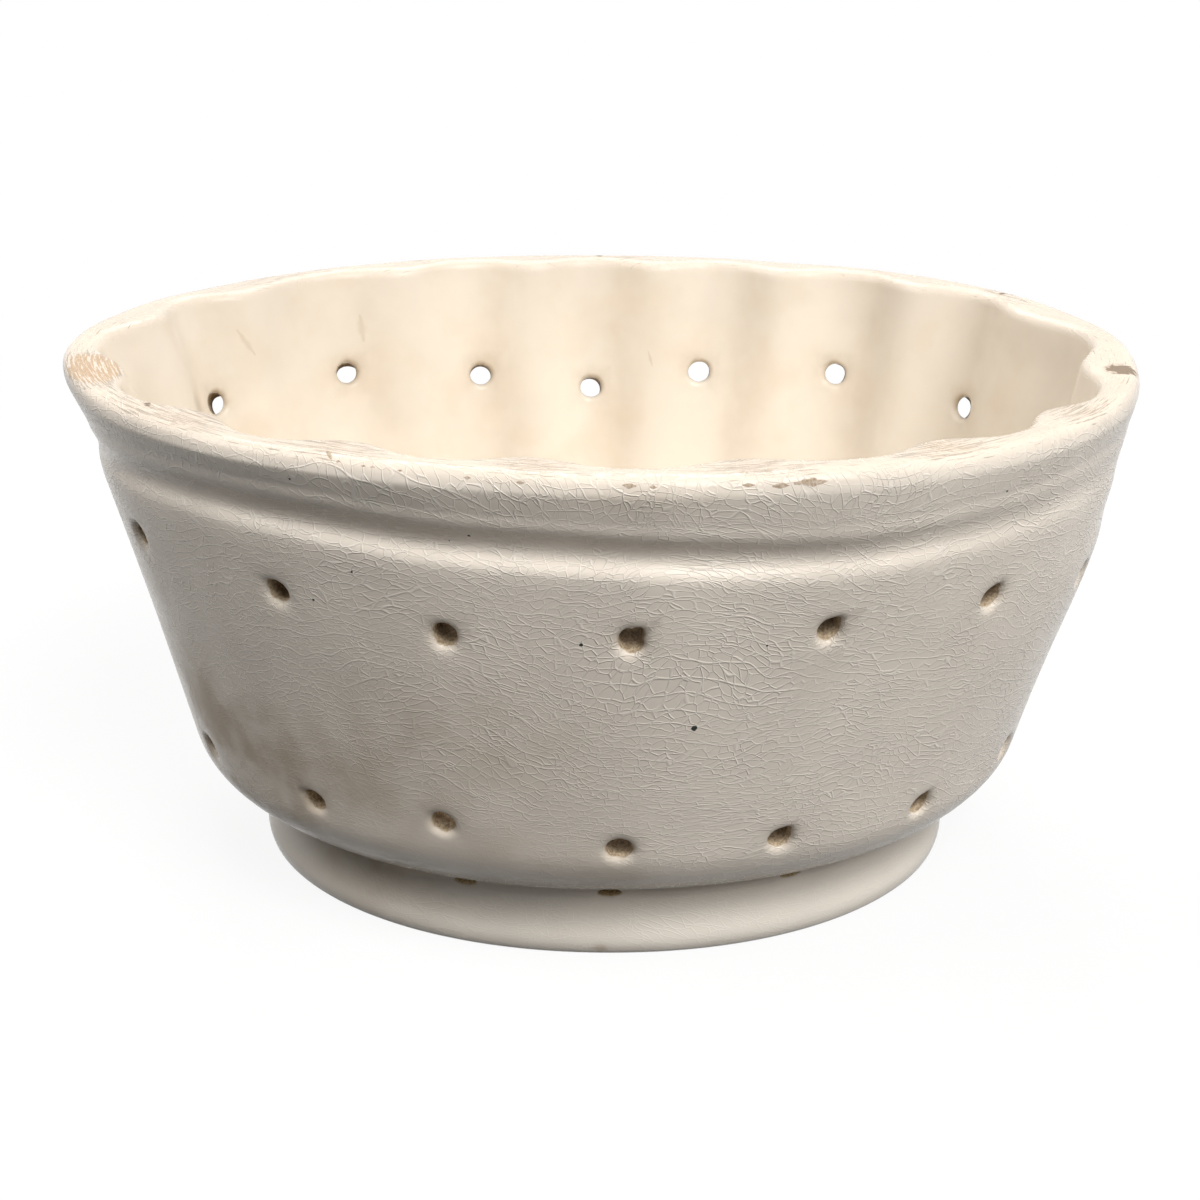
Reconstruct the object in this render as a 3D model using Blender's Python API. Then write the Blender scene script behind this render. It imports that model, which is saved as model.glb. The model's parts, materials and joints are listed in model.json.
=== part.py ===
"""Oval curd mould in glazed earthenware: a fluted, pierced wall luted to a pierced floor and a foot ring.

Metres, +Z up. The origin is the middle of the foot's resting plane, and +X runs along the oval.
"""

from math import atan2, copysign, cos, pi, radians, sin

import bmesh
import bpy
from mathutils import Matrix, Vector

# Oval plan, measured over the lip
RIM_LENGTH = 0.190
RIM_WIDTH = 0.148
HEIGHT = 0.097
OVAL_POWER = 2.05  # 2 is a true ellipse, and more is squarer

# Rim moulding, as drops below the lip and insets from the lip's widest oval
LIP_ROUND = 0.0022
BAND_HEIGHT = 0.0095
BAND_LEAN = 0.0005  # top of the band, behind its widest line
BAND_WIDEST = 0.28  # share of the band's height above its widest line
BAND_ROLL = 0.0013  # bottom of the band, behind its widest line
BAND_CURVE = 1.8  # how late the band rolls under
GROOVE_HEIGHT = 0.007
GROOVE_DEPTH = 0.0023
GROOVE_DEEPEST = 0.6  # share of the groove's height above its deepest line
RIDGE_INSET = 0.0018
NECK_DROP = 0.0195
NECK_INSET = 0.00275

# Tapering wall, down to the shoulder where it turns under
SHOULDER_LENGTH = 0.1602
SHOULDER_WIDTH = 0.1246
SHOULDER_RISE = 0.0087  # above the foot's top
SHOULDER_ROUND = 0.0065
CREASE_DROP = 0.0007  # crease below the end of the shoulder's turn
LIP_WIDTH = 0.006  # at the middle of a flute
WALL = 0.006  # at the middle of a flute, at the shoulder
INNER_CORNER = 0.006

# Flutes pressed into the inside of the wall, with a rounded rib between each two
FLUTES = 16
FLUTE_DEPTH = 0.004
FIRST_RIB = -9.0  # degrees from the long axis
RIB_POWER = 1.4  # more makes the ribs narrower

# Foot ring and floor
FOOT_LENGTH = 0.1346
FOOT_WIDTH = 0.1058
FOOT_HEIGHT = 0.0165
FOOT_THICKNESS = 0.0085
FOOT_LEAN = 0.0034  # top of the foot, behind its standing edge
FOOT_COVE = 0.0016
FOOT_ROUND = 0.0006
FLOOR_THICKNESS = 0.0055
FLOOR_BEARING = 0.003  # how far the floor lies over the foot ring
CREASE_OVERHANG = 0.0004

# Piercings, one to each flute in every row
DRAIN_HOLE = 0.0042
UPPER_ROW_DROP = 0.0275  # below the lip
LOWER_ROW_RISE = 0.0105  # above the foot's top
WEEP_HOLE = 0.0034
WEEP_DROP = 0.0047  # below the foot's top
FLOOR_HOLE = 0.0042
FLOOR_RINGS = ((6, 0.4), (12, 0.76))  # holes in each ring, and its share of the floor's half size

SEAM = 0.0003  # luted seam between two pieces

STEPS_PER_FLUTE = 7
ARC_STEPS = 3
BAND_STEPS = 3
GROOVE_STEPS = 5
SHOULDER_STEPS = 5
COVE_STEPS = 6
WALL_STEPS = 3
HOLE_SIDES = 10
PUNCH_REACH = 0.022

GLAZE = (0.80, 0.75, 0.67, 1.0)
FOOT_GLAZE = (0.77, 0.73, 0.66, 1.0)
FLOOR_GLAZE = (0.84, 0.78, 0.68, 1.0)
GLAZE_ROUGHNESS = 0.18

# Sizes that follow from those above
SHOULDER_Z = FOOT_HEIGHT + SHOULDER_RISE
NECK_Z = HEIGHT - NECK_DROP
FLOOR_TOP = FOOT_HEIGHT + FLOOR_THICKNESS
RIM = Vector((RIM_LENGTH / 2, RIM_WIDTH / 2))
SHOULDER = Vector((SHOULDER_LENGTH / 2, SHOULDER_WIDTH / 2))
FOOT = Vector((FOOT_LENGTH / 2, FOOT_WIDTH / 2))
ALL_ROUND = Vector((1, 1))
NECK = RIM - NECK_INSET * ALL_ROUND
FOOT_TOP = FOOT - FOOT_LEAN * ALL_ROUND
FOOT_BORE = FOOT - FOOT_THICKNESS * ALL_ROUND
FLOOR = FOOT_BORE + FLOOR_BEARING * ALL_ROUND


def oval_point(half, angle):
    """The point of the oval with this half length and half width."""
    power = 2 / OVAL_POWER
    across, along = sin(angle), cos(angle)
    return Vector((
        half.x * copysign(abs(along) ** power, along),
        half.y * copysign(abs(across) ** power, across),
    ))


def oval_normal(half, angle):
    """The outward direction of the oval at that point."""
    point = oval_point(half, angle)
    slope = [
        copysign(abs(point[i] / half[i]) ** (OVAL_POWER - 1), point[i]) / half[i]
        for i in range(2)
    ]
    return Vector(slope).normalized()


def lip_angles(count):
    """Angles of the lip's oval at equal turns about its middle, from the first rib on."""
    angles = []
    for step in range(count):
        turn = radians(FIRST_RIB) + 2 * pi * step / count
        along = copysign(abs(cos(turn) / RIM.x) ** (OVAL_POWER / 2), cos(turn))
        across = copysign(abs(sin(turn) / RIM.y) ** (OVAL_POWER / 2), sin(turn))
        angles.append(atan2(across, along))
    return angles


def flute_middles():
    """The angles of the flutes' middles, where the wall is pierced."""
    return lip_angles(2 * FLUTES)[1::2]


STATIONS = [
    (
        angle,
        oval_normal(RIM, angle),
        ((1 + cos(2 * pi * step / STEPS_PER_FLUTE)) / 2) ** RIB_POWER,
    )
    for step, angle in enumerate(lip_angles(FLUTES * STEPS_PER_FLUTE))
]


def section(half, z, inset=0.0, rib_depth=0.0):
    """One level ring of points, drawn in from its oval by the inset and, at the ribs, by their depth."""
    ring = []
    for angle, normal, rib in STATIONS:
        point = oval_point(half, angle) - normal * (inset + rib_depth * rib)
        ring.append((point.x, point.y, z))
    return ring


def blend(low, high, share):
    return low + (high - low) * share


def outside(z):
    """Half sizes of the tapering wall's outer face."""
    return blend(SHOULDER, NECK, (z - SHOULDER_Z) / (NECK_Z - SHOULDER_Z))


def inside(z):
    """Half sizes of the inner face at the middle of a flute."""
    share = (z - FLOOR_TOP) / (HEIGHT - FLOOR_TOP)
    return blend(outside(FLOOR_TOP) - WALL * ALL_ROUND, RIM - LIP_WIDTH * ALL_ROUND, share)


def quarter(share):
    return sin(share * pi / 2), 1 - cos(share * pi / 2)


def rim_outer_sections():
    """Lip, rolled band, run groove and ridge, from the crown down."""
    rings = []
    for step in range(ARC_STEPS + 1):
        out, down = quarter(step / ARC_STEPS)
        rings.append(section(RIM, HEIGHT - LIP_ROUND * down, BAND_LEAN + LIP_ROUND * (1 - out)))
    band_foot = HEIGHT - BAND_HEIGHT
    for step in range(BAND_STEPS):
        rolled = step / BAND_STEPS
        z = blend(HEIGHT - LIP_ROUND, band_foot, blend(BAND_WIDEST, 1, rolled))
        rings.append(section(RIM, z, BAND_ROLL * rolled ** BAND_CURVE))
    for step in range(GROOVE_STEPS + 1):
        share = step / GROOVE_STEPS
        depth = min(share / GROOVE_DEEPEST, (1 - share) / (1 - GROOVE_DEEPEST))
        inset = blend(BAND_ROLL, RIDGE_INSET, share) + GROOVE_DEPTH * depth
        rings.append(section(RIM, band_foot - GROOVE_HEIGHT * share, inset))
    return rings


def body_outer_sections():
    """Straight taper, shoulder turned under, and the crease where the foot is luted on."""
    rings = []
    for step in range(WALL_STEPS + 1):
        z = blend(NECK_Z, SHOULDER_Z, step / WALL_STEPS)
        rings.append(section(outside(z), z))
    for step in range(1, SHOULDER_STEPS + 1):
        down, back = quarter(step / SHOULDER_STEPS)
        z = SHOULDER_Z - (SHOULDER_RISE - CREASE_DROP) * down
        rings.append(section(SHOULDER, z, SHOULDER_ROUND * back))
    rings.append(section(FOOT_TOP, FOOT_HEIGHT, -CREASE_OVERHANG))
    return rings


def body_inner_sections():
    """Seat round the floor, rounded corner, and the fluted inner face up to the lip."""
    rings = [section(FLOOR, z, -SEAM) for z in (FOOT_HEIGHT, FLOOR_TOP)]
    room = inside(FLOOR_TOP) - FLOOR - SEAM * ALL_ROUND
    corner = min(INNER_CORNER, room.x, room.y)
    for step in range(ARC_STEPS + 1):
        out, up = quarter(step / ARC_STEPS)
        z = FLOOR_TOP + corner * up
        rings.append(section(inside(z), z, corner * (1 - out), FLUTE_DEPTH * out))
    lip_start = HEIGHT - LIP_ROUND
    for step in range(1, WALL_STEPS + 1):
        z = blend(FLOOR_TOP + corner, lip_start, step / WALL_STEPS)
        rings.append(section(inside(z), z, 0.0, FLUTE_DEPTH))
    for step in range(1, ARC_STEPS + 1):
        up, back = quarter(step / ARC_STEPS)
        z = lip_start + LIP_ROUND * up
        rings.append(section(inside(lip_start), z, -LIP_ROUND * back, FLUTE_DEPTH))
    return rings


def foot_sections():
    """Coved outer face, rounded standing edge and plain bore, from the top down and back up."""
    top, bottom = FOOT_HEIGHT - SEAM, FOOT_ROUND
    rings = []
    for step in range(COVE_STEPS + 1):
        share = step / COVE_STEPS
        inset = FOOT_LEAN * (1 - share) + FOOT_COVE * sin(pi * share)
        rings.append(section(FOOT, blend(top, bottom, share), inset))
    for step in range(1, ARC_STEPS + 1):
        down, back = quarter(step / ARC_STEPS)
        rings.append(section(FOOT, FOOT_ROUND * (1 - down), FOOT_ROUND * back))
    rings.append(section(FOOT_BORE, 0, -FOOT_ROUND))
    rings.append(section(FOOT_BORE, FOOT_ROUND))
    rings.append(section(FOOT_BORE, top))
    return rings


def loft(name, rings, collection, capped=False):
    """An object whose skin runs from ring to ring, and back to the first one unless it is capped."""
    work = bmesh.new()
    loops = [[work.verts.new(point) for point in ring] for ring in rings]
    following = loops[1:] if capped else loops[1:] + loops[:1]
    for upper, lower in zip(loops, following):
        for i in range(len(upper)):
            work.faces.new((upper[i - 1], lower[i - 1], lower[i], upper[i]))
    if capped:
        work.faces.new(loops[0])
        work.faces.new(loops[-1][::-1])
    return finished(name, work, collection)


def finished(name, work, collection):
    mesh = bpy.data.meshes.new(name)
    bmesh.ops.recalc_face_normals(work, faces=work.faces)
    work.to_mesh(mesh)
    work.free()
    mesh.shade_smooth()
    mesh.set_sharp_from_angle(angle=radians(40))
    made = bpy.data.objects.new(name, mesh)
    collection.objects.link(made)
    return made


def punches(name, places, diameter, cutters):
    """One cutter of separate round punches, each at a point and along a direction."""
    work = bmesh.new()
    for point, direction in places:
        turn = direction.to_track_quat("Z", "Y").to_matrix().to_4x4()
        bmesh.ops.create_cone(
            work,
            cap_ends=True,
            segments=HOLE_SIDES,
            radius1=diameter / 2,
            radius2=diameter / 2,
            depth=PUNCH_REACH,
            matrix=Matrix.Translation(point) @ turn,
        )
    made = finished(name, work, cutters)
    made.hide_render = True
    made.display_type = "WIRE"
    return made


def pierce(target, cutter):
    cut = target.modifiers.new(cutter.name, "BOOLEAN")
    cut.operation = "DIFFERENCE"
    cut.solver = "EXACT"
    cut.object = cutter


def wall_places(z):
    """Points in the wall's thickness at the flutes' middles, each with the wall's own direction there."""
    half = (outside(z) + inside(z)) / 2
    lean = (NECK.x - SHOULDER.x) / (NECK_Z - SHOULDER_Z)
    places = []
    for angle in flute_middles():
        point, normal = oval_point(half, angle), oval_normal(half, angle)
        places.append((Vector((*point, z)), Vector((*normal, -lean))))
    return places


def weep_places():
    half = (FOOT + FOOT_BORE) / 2
    z = FOOT_HEIGHT - WEEP_DROP
    return [
        (Vector((*oval_point(half, angle), z)), Vector((*oval_normal(half, angle), 0)))
        for angle in flute_middles()
    ]


def floor_places():
    """A middle hole and rings of holes round it."""
    points = [Vector((0, 0))]
    for count, share in FLOOR_RINGS:
        points += [oval_point(FLOOR * share, 2 * pi * i / count) for i in range(count)]
    z = (FOOT_HEIGHT + FLOOR_TOP) / 2
    return [(Vector((*point, z)), Vector((0, 0, 1))) for point in points]


def glaze(name, color):
    material = bpy.data.materials.new(name)
    material.use_nodes = True
    shader = material.node_tree.nodes["Principled BSDF"]
    shader.inputs["Base Color"].default_value = color
    shader.inputs["Roughness"].default_value = GLAZE_ROUGHNESS
    shader.inputs["Metallic"].default_value = 0.0
    return material


def new_collection(name):
    made = bpy.data.collections.new(name)
    bpy.context.scene.collection.children.link(made)
    return made


def fluted_wall(pieces, cutters):
    rings = rim_outer_sections() + body_outer_sections() + body_inner_sections()
    wall = loft("fluted_wall", rings, pieces)
    for name, z in (
        ("upper_drain_punches", HEIGHT - UPPER_ROW_DROP),
        ("lower_drain_punches", FOOT_HEIGHT + LOWER_ROW_RISE),
    ):
        pierce(wall, punches(name, wall_places(z), DRAIN_HOLE, cutters))
    wall.data.materials.append(glaze("cream_glaze", GLAZE))


def pierced_floor(pieces, cutters):
    floor = loft("pierced_floor", [section(FLOOR, z) for z in (FLOOR_TOP, FOOT_HEIGHT)], pieces, capped=True)
    pierce(floor, punches("floor_punches", floor_places(), FLOOR_HOLE, cutters))
    floor.data.materials.append(glaze("floor_glaze", FLOOR_GLAZE))


def foot_ring(pieces, cutters):
    foot = loft("foot_ring", foot_sections(), pieces)
    pierce(foot, punches("weep_punches", weep_places(), WEEP_HOLE, cutters))
    foot.data.materials.append(glaze("foot_glaze", FOOT_GLAZE))


def main():
    for old in list(bpy.data.objects):
        bpy.data.objects.remove(old)
    pieces = new_collection("curd_mould")
    cutters = new_collection("piercing_punches")
    fluted_wall(pieces, cutters)
    pierced_floor(pieces, cutters)
    foot_ring(pieces, cutters)


main()
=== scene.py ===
import json
from math import cos, erf, pi, radians, sin

import bmesh
import bpy
import numpy as np
from mathutils import Matrix, Vector, noise
from numpy.linalg import norm

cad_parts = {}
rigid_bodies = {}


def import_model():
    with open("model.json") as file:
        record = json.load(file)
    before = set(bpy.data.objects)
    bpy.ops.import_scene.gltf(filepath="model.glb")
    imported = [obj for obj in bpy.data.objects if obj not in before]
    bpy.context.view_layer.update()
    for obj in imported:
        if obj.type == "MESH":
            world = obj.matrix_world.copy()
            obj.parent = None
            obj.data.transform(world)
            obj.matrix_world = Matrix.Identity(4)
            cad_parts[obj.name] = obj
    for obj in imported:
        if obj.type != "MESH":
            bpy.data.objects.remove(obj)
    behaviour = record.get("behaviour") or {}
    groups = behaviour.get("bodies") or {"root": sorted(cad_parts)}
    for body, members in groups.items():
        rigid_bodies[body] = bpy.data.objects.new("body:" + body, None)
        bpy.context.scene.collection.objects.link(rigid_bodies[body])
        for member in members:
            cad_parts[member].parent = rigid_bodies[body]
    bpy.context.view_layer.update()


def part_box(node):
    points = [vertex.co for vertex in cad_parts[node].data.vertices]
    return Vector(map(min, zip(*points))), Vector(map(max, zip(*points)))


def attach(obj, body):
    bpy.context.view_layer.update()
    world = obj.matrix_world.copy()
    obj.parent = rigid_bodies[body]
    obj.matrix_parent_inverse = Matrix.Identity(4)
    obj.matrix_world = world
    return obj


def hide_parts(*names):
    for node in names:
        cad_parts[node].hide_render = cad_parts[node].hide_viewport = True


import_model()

mm = 0.001

# oval plan, shared by the three pieces
mould = {
    "ovalPower": 2.05,  # 2 is a true ellipse
    "turns": 18,  # places round the mould are told in equal steps along the lip
    "turnStart": 5.6 * mm,  # first step from the long axis
    "flutes": 16,
    "firstRib": -9.0,  # degrees from the long axis
    "ribStrays": (  # ribs off their even place: turn, spread, share
        (15.1, 1.3, 0.28), (7.3, 0.6, 0.2), (1.0, 0.6, 0.15),
    ),
    "ribPower": 1.4,  # more makes the ribs narrower
    "seam": 0.3 * mm,  # luted seam between two pieces
    "seamTurn": 0.5,  # the sheets close here, clear of the holes
}


def halfSize(node):
    low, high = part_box(node)
    return np.array([high.x - low.x, high.y - low.y]) / 2


rim = halfSize("fluted_wall")
footHalf = halfSize("foot_ring")
floorHalf = halfSize("pierced_floor")
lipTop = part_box("fluted_wall")[1].z
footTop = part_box("foot_ring")[1].z
floorUnder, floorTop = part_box("pierced_floor")[0].z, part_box("pierced_floor")[1].z


def ovalPoint(half, angle):
    power = 2 / mould["ovalPower"]
    along, across = np.cos(angle), np.sin(angle)
    x = half[..., 0] * np.sign(along) * np.abs(along) ** power
    y = half[..., 1] * np.sign(across) * np.abs(across) ** power
    return np.stack([x, y], -1)


def ovalNormal(half, angle):
    share = ovalPoint(np.ones(2), angle)
    slope = np.sign(share) * np.abs(share) ** (mould["ovalPower"] - 1) / half
    return slope / norm(slope, axis=-1, keepdims=True)


# run along the lip
lipAngle = np.linspace(0, 2 * pi, 7201)
lipSteps = norm(np.diff(ovalPoint(rim, lipAngle), axis=0), axis=1)
lipRun = np.concatenate([[0], np.cumsum(lipSteps)])
turnPitch = lipRun[-1] / mould["turns"]


def angleAt(turn):
    return np.interp((turn * turnPitch + mould["turnStart"]) % lipRun[-1], lipRun, lipAngle)


def turnAt(angle):
    far = np.interp(angle % (2 * pi), lipAngle, lipRun)
    return (far - mould["turnStart"]) / turnPitch % mould["turns"]


def humps(turn, places):
    total = np.zeros_like(turn)
    for at, spread, size in places:
        off = (turn - at + mould["turns"] / 2) % mould["turns"] - mould["turns"] / 2
        total = total + size * np.exp(-(off / spread) ** 2)
    return total


def patches(turn, z, places):
    # humps that also fade with height: turn, spread, height and reach in mm, size
    total = np.zeros_like(turn)
    for at, spread, height, reach, size in places:
        total = total + humps(turn, [(at, spread, size)]) * np.exp(-((z / mm - height) / reach) ** 2)
    return total


def fluteAt(turn):
    # flutes from the first rib on, at equal angles about the middle
    point = ovalPoint(rim, angleAt(turn))
    even = np.degrees(np.arctan2(point[..., 1], point[..., 0])) - mould["firstRib"]
    return even * mould["flutes"] / 360 - humps(turn, mould["ribStrays"])


def ribAt(turn):
    return ((1 + np.cos(2 * pi * fluteAt(turn))) / 2) ** mould["ribPower"]


def unevenness(turn, z, seed, cycles=(2, 11), climb=45):
    # slow swelling of hand-pressed clay, about -1 to 1
    draw = np.random.default_rng(seed)
    total = np.zeros_like(turn)
    for count in range(*cycles):
        lean, start = draw.uniform(-climb, climb), draw.uniform(0, 2 * pi)
        total += np.sin(2 * pi * count * turn / mould["turns"] + lean * z + start) / count ** 0.5
    return total / 2


# a profile is a table with one row for each level ring of the piece
profileColumns = ("long", "wide", "z", "inset", "rib", "sway", "inner", "crown", "groove")


def columnOf(table, name):
    return table[:, profileColumns.index(name)]


def ring(half, z, inset=0.0, rib=0.0, sway=0.0, inner=0.0, crown=0.0, groove=0.0):
    return [half[0], half[1], z, inset, rib, sway, inner, crown, groove]


def run(count, make):
    return [make(share) for share in np.linspace(0, 1, count)]


def blend(low, high, share):
    return low + (high - low) * share


def quarterRound(share):
    return sin(share * pi / 2), 1 - cos(share * pi / 2)


def evenRows(rings, soften, spacing):
    # softens the corners of a closed profile, then spreads its rows at the wanted spacing
    fineStep = 0.1 * mm
    table = np.array(rings + rings[:1])
    across = columnOf(table, "wide") - columnOf(table, "inset") - columnOf(table, "rib") / 2
    across = across - columnOf(table, "groove")
    far = np.concatenate([[0], np.cumsum(np.hypot(np.diff(across), np.diff(columnOf(table, "z"))))])
    fine = np.arange(0, far[-1], fineStep)
    dense = np.stack([np.interp(fine, far, column) for column in table.T], -1)
    width = int(soften / fineStep)
    bell = np.hanning(2 * width + 3)[1:-1]
    padded = np.vstack([dense[-width:], dense, dense[:width]])
    dense = np.stack([np.convolve(column, bell / bell.sum(), "valid") for column in padded.T], -1)
    dense = np.vstack([dense, dense[:1]])
    perStep = fineStep / spacing(dense)
    count = np.concatenate([[0], np.cumsum((perStep[1:] + perStep[:-1]) / 2)])
    rows = np.linspace(0, count[-1], int(round(count[-1])) + 1)
    return np.stack([np.interp(rows, count, column) for column in dense.T], -1)


def tableAt(table, row):
    steps = np.arange(len(table))
    return {name: np.interp(row, steps, column) for name, column in zip(profileColumns, table.T)}


def rowAt(table, z, inner):
    # row of the outer or inner face at this height
    rows = np.flatnonzero((columnOf(table, "inner") > 0.5) == inner)
    heights = columnOf(table, "z")[rows]
    order = np.argsort(heights, kind="stable")
    return float(np.interp(z, heights[order], rows[order]))


def ringPoint(table, turn, row):
    at = tableAt(table, row)
    angle = angleAt(turn)
    point = ovalPoint(np.stack([at["long"], at["wide"]], -1), angle)
    lipReach = wall["bandHeight"] - wall["lipRound"]
    nearLip = np.clip((at["z"] - lipTop + wall["bandHeight"]) / lipReach, 0, 1)
    rise = at["sway"] * humps(turn, wall["sway"]) + nearLip * humps(turn, wall["lipDips"])
    z = at["z"] + rise * mm
    groove = at["groove"] * (1 - humps(turn, wall["grooveFades"]))
    inset = at["inset"] + at["rib"] * ribAt(turn) + groove - patches(turn, z, wall["pushed"]) * mm
    return np.column_stack([point - ovalNormal(rim, angle) * inset[:, None], z])


# what the materials read, nought where a piece says nothing
pieceMasks = ("clay", "inner", "crown", "grime", "stain", "wear", "crazing", "deep")


def flatSheet(table, columns, start=0.0):
    # cells laid flat, x round the oval and y along the profile, until wrapSheet folds them into the piece
    rows = len(table) - 1
    bm = bmesh.new()
    layers = {name: bm.verts.layers.float.new(name) for name in pieceMasks}
    owner = bm.verts.layers.int.new("mouth")
    shade = bm.verts.layers.float.new("shade")
    place = Matrix.Translation((columns / 2, rows / 2, 0)) @ Matrix.Diagonal((columns, rows, 1, 1))
    bmesh.ops.create_grid(bm, x_segments=columns, y_segments=rows, size=0.5, matrix=place)
    cells = {}
    for face in bm.faces:
        middle = face.calc_center_median()
        cells[int(middle.x), int(middle.y)] = face
    return {"bm": bm, "table": table, "columns": columns, "rows": rows, "cells": cells,
            "layers": layers, "owner": owner, "shade": shade, "mouths": [], "rims": [], "start": start}


def sheetTurn(sheet, column):
    return np.atleast_1d(column) * mould["turns"] / sheet["columns"] + sheet["start"]


def sheetPoint(sheet, column, row):
    return ringPoint(sheet["table"], sheetTurn(sheet, column), np.atleast_1d(row))


def slopes(sheet, column, row, step):
    # round the oval and along the profile, over a step either way
    across = sheetPoint(sheet, column + step, row) - sheetPoint(sheet, column - step, row)
    after, before = np.minimum(row + step, sheet["rows"]), np.maximum(row - step, 0)
    return across, sheetPoint(sheet, column, after) - sheetPoint(sheet, column, before)


def holeRadius(hole, angle):
    # oval mouth with drawn-out points, given as (degrees, share, spread)
    wide, tall = (hole["radius"] * (1 + sign * hole.get("stretch", 0.0)) for sign in (1, -1))
    radius = wide * tall / np.hypot(tall * np.cos(angle), wide * np.sin(angle))
    for at, size, spread in hole.get("points", ()):
        off = (angle - radians(at) + pi) % (2 * pi) - pi
        radius += hole["radius"] * size * np.exp(-(off / spread) ** 2)
    return radius


def planMouth(sheet, turn, row, hole, rings, cells, upward):
    column = (turn - sheet["start"]) % mould["turns"] * sheet["columns"] / mould["turns"]
    perColumn, perRow = (norm(slope) for slope in slopes(sheet, column, row, 0.5))
    sheet["mouths"].append({"column": column, "row": row, "perColumn": perColumn, "perRow": perRow * upward,
                            "hole": hole, "rings": rings, "cells": cells})


# unglazed bores, told by the share of the way from the outer mouth in
bore = {
    "bare": ((0, 0.8, 1), (1, 1, 0.3)),  # shares, and how bare the clay is there
    # painted shade down each bore: shares, and how dark it is there
    "dark": ((0, 0.35, 0.8, 0.95, 1), (0.1, 0.9, 0.9, 0.2, 0)),
    "shade": 0.75,  # of that painted shade, where a hole has no shade of its own
    "cuts": 5,
    "grit": 0.16 * mm,
    "gritScale": 900,
    "gritSeed": 1,
}


def openMouths(sheet):
    # swaps a block of cells at each mouth for rings that close in on the hole's edge
    bm, owner, mouths = sheet["bm"], sheet["owner"], sheet["mouths"]
    clay, deep = sheet["layers"]["clay"], sheet["layers"]["deep"]
    blocks = []
    for number, mouth in enumerate(mouths):
        wide, tall = mouth["cells"]
        left, top = round(mouth["column"] - wide / 2), round(mouth["row"] - tall / 2)
        for i in range(left, left + wide):
            for j in range(top, top + tall):
                blocks.append(sheet["cells"][i, j])
                for v in blocks[-1].verts:
                    v[owner] = number
    chosen = set(blocks)
    edges = [e for f in blocks for e in f.edges if sum(g in chosen for g in e.link_faces) == 1]
    bmesh.ops.delete(bm, geom=blocks, context="FACES")
    for step in range(len(mouths[0]["rings"])):
        made = bmesh.ops.extrude_edge_only(bm, edges=edges)["geom"]
        verts = {g for g in made if isinstance(g, bmesh.types.BMVert)}
        edges = [g for g in made if isinstance(g, bmesh.types.BMEdge) and set(g.verts) <= verts]
        for v in verts:
            mouth = mouths[v[owner]]
            reach, lift, bare = mouth["rings"][step]
            across = (v.co.x - mouth["column"]) * mouth["perColumn"]
            up = (v.co.y - mouth["row"]) * mouth["perRow"]
            angle = np.arctan2(up, across)
            radius = holeRadius(mouth["hole"], angle) + reach * mm
            v.co = (mouth["column"] + radius * cos(angle) / mouth["perColumn"],
                    mouth["row"] + radius * sin(angle) / mouth["perRow"], lift * mm)
            v[clay] = bare
            v[deep] = float(mouth["perRow"] > 0)
            v[sheet["shade"]] = mouth["hole"].get("shade", bore["shade"])
    sheet["rims"] = edges


def wrapSheet(sheet, masks):
    # folds the flat sheet round the oval, closes its two seams and joins the mouths into bores
    bm, rows, columns = sheet["bm"], sheet["rows"], sheet["columns"]
    column, row, lift = np.array([v.co for v in bm.verts]).T
    base = sheetPoint(sheet, column, row)
    across, along = slopes(sheet, column, row, 0.05)
    normal = np.cross(along, across)
    normal /= norm(normal, axis=1, keepdims=True)
    values = masks(sheetTurn(sheet, column), tableAt(sheet["table"], row), base, normal)
    placed = base + normal * (lift + values.pop("lift"))[:, None]
    ends = (column < 0.01) | (column > columns - 0.01) | (row < 0.01) | (row > rows - 0.01)
    seam = [v for v, end in zip(bm.verts, ends) if end]
    layers = [(sheet["layers"][name], numbers) for name, numbers in values.items()]
    for i, v in enumerate(bm.verts):
        v.co = placed[i]
        for layer, numbers in layers:
            v[layer] = numbers[i]
    bmesh.ops.remove_doubles(bm, verts=seam, dist=0.002 * mm)
    joinBores(sheet)


def joinBores(sheet):
    bm, rims, clay, deep = sheet["bm"], sheet["rims"], sheet["layers"]["clay"], sheet["layers"]["deep"]
    faces = bmesh.ops.bridge_loops(bm, edges=rims, use_pairs=True)["faces"]
    ends = set(rims)
    long = [e for e in dict.fromkeys(e for f in faces for e in f.edges) if e not in ends]
    bmesh.ops.subdivide_edges(bm, edges=long, cuts=bore["cuts"], use_grid_fill=True)
    noise.seed_set(bore["gritSeed"])
    for v in bm.verts:
        if 0 < v[deep] < 1:  # share of the way in
            v[clay] = np.interp(v[deep], *bore["bare"])
            # painted shade, darkest midway along the bore
            v[deep] = v[sheet["shade"]] * np.interp(v[deep], *bore["dark"])
            v.co += noise.noise_vector(v.co * bore["gritScale"]) * bore["grit"]
        elif v[deep] == 1:
            v[deep] = 0.0


def addObject(name, data):
    made = bpy.data.objects.new(name, data)
    bpy.context.scene.collection.objects.link(made)
    return made


def addMesh(name, bm, material):
    mesh = bpy.data.meshes.new(name)
    bm.to_mesh(mesh)
    bm.free()
    mesh.materials.append(material)
    return addObject(name, mesh)


def finishSheet(sheet, name, material):
    bm = sheet["bm"]
    bmesh.ops.recalc_face_normals(bm, faces=bm.faces)
    bm.verts.layers.int.remove(sheet["owner"])
    bm.verts.layers.float.remove(bm.verts.layers.float["shade"])
    piece = addMesh(name, bm, material)
    piece.data.shade_smooth()
    piece.data.set_sharp_from_angle(angle=radians(50))
    print(name, "has", sum(len(face.vertices) - 2 for face in piece.data.polygons), "triangles")
    return piece


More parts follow.
